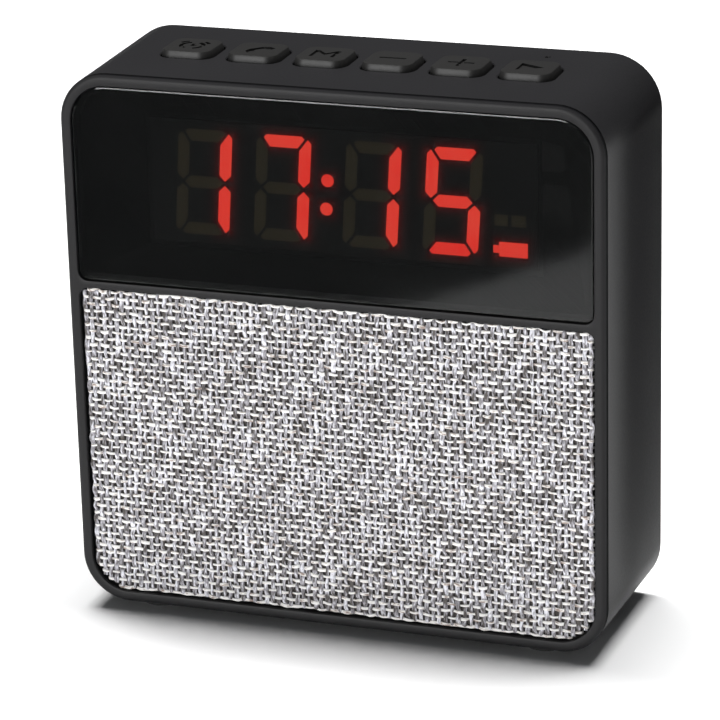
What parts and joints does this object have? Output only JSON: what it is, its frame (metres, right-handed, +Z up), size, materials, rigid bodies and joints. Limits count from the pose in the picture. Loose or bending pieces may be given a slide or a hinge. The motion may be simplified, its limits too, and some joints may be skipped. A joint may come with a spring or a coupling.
{
  "type": "clock radio",
  "caption": "Square desk clock radio with a tinted LED display above a woven fabric speaker grille and a row of push keys on top.",
  "frame": {"origin": "on the table under the middle of the body, level with the bottoms of the feet", "axes": "+Z up, the display and grille face -Y, +X to the right seen from the front"},
  "size_m": [0.11, 0.0372, 0.1116],
  "materials": {
    "housing_plastic": "matte black, soft touch",
    "key_plastic": "matte black",
    "inner_plastic": "moulded black",
    "tinted_lens": "polished, dark tint",
    "red_light": "light windows, lit red where the time shows",
    "grille_cloth": "plain weave of grey and white melange yarns",
    "foot_rubber": "matte",
    "black_tape": "foam tape",
    "black_screw": "blackened steel",
    "plated_steel": "zinc plated",
    "basket_steel": "pressed steel, grey coat",
    "ferrite": "sintered ferrite",
    "copper_coil": "enamelled copper wire",
    "cone_paper": "pressed black paper",
    "spider_cloth": "resin-dipped cloth",
    "terminal_strip": "tinned brass on fibre board",
    "board_green": "solder mask",
    "chip_black": "moulded packages",
    "led_chip": "white packages",
    "cell_sleeve": "shrink sleeve",
    "white_plug": "nylon",
    "red_wire": "insulated wire",
    "ribbon": "flat cable"
  },
  "bodies": {
    "body": {"front_frame": "housing_plastic", "housing": "housing_plastic", "rear_cover": "housing_plastic", "cover_screws": "black_screw", "feet": "foot_rubber", "display_lens": "tinted_lens", "lens_tape": "black_tape", "grille_plate": "inner_plastic", "grille_fabric": "grille_cloth", "display_reflector": "inner_plastic", "digit_1": "red_light", "digit_2": "red_light", "digit_3": "red_light", "digit_4": "red_light", "colon_dots": "red_light", "status_icons": "red_light", "display_leds": "led_chip", "display_board": "board_green", "display_driver": "chip_black", "display_screws": "plated_steel", "speaker_gasket": "black_tape", "speaker_basket": "basket_steel", "speaker_top_plate": "plated_steel", "speaker_magnet": "ferrite", "speaker_yoke": "plated_steel", "speaker_surround": "foot_rubber", "speaker_spider": "spider_cloth", "speaker_terminals": "terminal_strip", "speaker_screws": "black_screw", "speaker_leads": "red_wire", "main_board": "board_green", "board_chips": "chip_black", "board_screws": "plated_steel", "charge_socket": "plated_steel", "audio_jack": "inner_plastic", "card_slot": "plated_steel", "power_switch_body": "plated_steel", "battery_cell": "cell_sleeve", "battery_cradle": "inner_plastic", "battery_straps": "plated_steel", "battery_leads": "red_wire", "battery_plug": "white_plug", "dome_switches": "plated_steel", "key_board": "board_green", "key_board_screws": "plated_steel", "microphone": "plated_steel", "mic_boot": "foot_rubber", "display_ribbon": "ribbon", "key_ribbon": "ribbon"},
    "key_alarm": {"key_alarm": "key_plastic"},
    "key_call": {"key_call": "key_plastic"},
    "key_mode": {"key_mode": "key_plastic"},
    "key_minus": {"key_minus": "key_plastic"},
    "key_plus": {"key_plus": "key_plastic"},
    "key_play": {"key_play": "key_plastic"},
    "switch_knob": {"power_switch_knob": "inner_plastic"},
    "cone": {"speaker_cone": "cone_paper", "dust_cap": "cone_paper", "voice_coil": "copper_coil"}
  },
  "joints": [
    {"name": "key_alarm_press", "type": "slide", "parent": "body", "child": "key_alarm", "axis": [0, 0, -1], "range_m": [0, 0.0004], "stiffness_N_per_m": 400, "springref_m": -0.003},
    {"name": "key_call_press", "type": "slide", "parent": "body", "child": "key_call", "axis": [0, 0, -1], "range_m": [0, 0.0004], "stiffness_N_per_m": 400, "springref_m": -0.003},
    {"name": "key_mode_press", "type": "slide", "parent": "body", "child": "key_mode", "axis": [0, 0, -1], "range_m": [0, 0.0004], "stiffness_N_per_m": 400, "springref_m": -0.003},
    {"name": "key_minus_press", "type": "slide", "parent": "body", "child": "key_minus", "axis": [0, 0, -1], "range_m": [0, 0.0004], "stiffness_N_per_m": 400, "springref_m": -0.003},
    {"name": "key_plus_press", "type": "slide", "parent": "body", "child": "key_plus", "axis": [0, 0, -1], "range_m": [0, 0.0004], "stiffness_N_per_m": 400, "springref_m": -0.003},
    {"name": "key_play_press", "type": "slide", "parent": "body", "child": "key_play", "axis": [0, 0, -1], "range_m": [0, 0.0004], "stiffness_N_per_m": 400, "springref_m": -0.003},
    {"name": "switch_slide", "type": "slide", "parent": "body", "child": "switch_knob", "axis": [1, 0, 0], "range_m": [0, 0.002]},
    {"name": "cone_stroke", "type": "slide", "parent": "body", "child": "cone", "axis": [0, -1, 0], "range_m": [-0.001, 0.001], "stiffness_N_per_m": 1500, "deforming": ["speaker_surround", "speaker_spider"]}
  ]
}
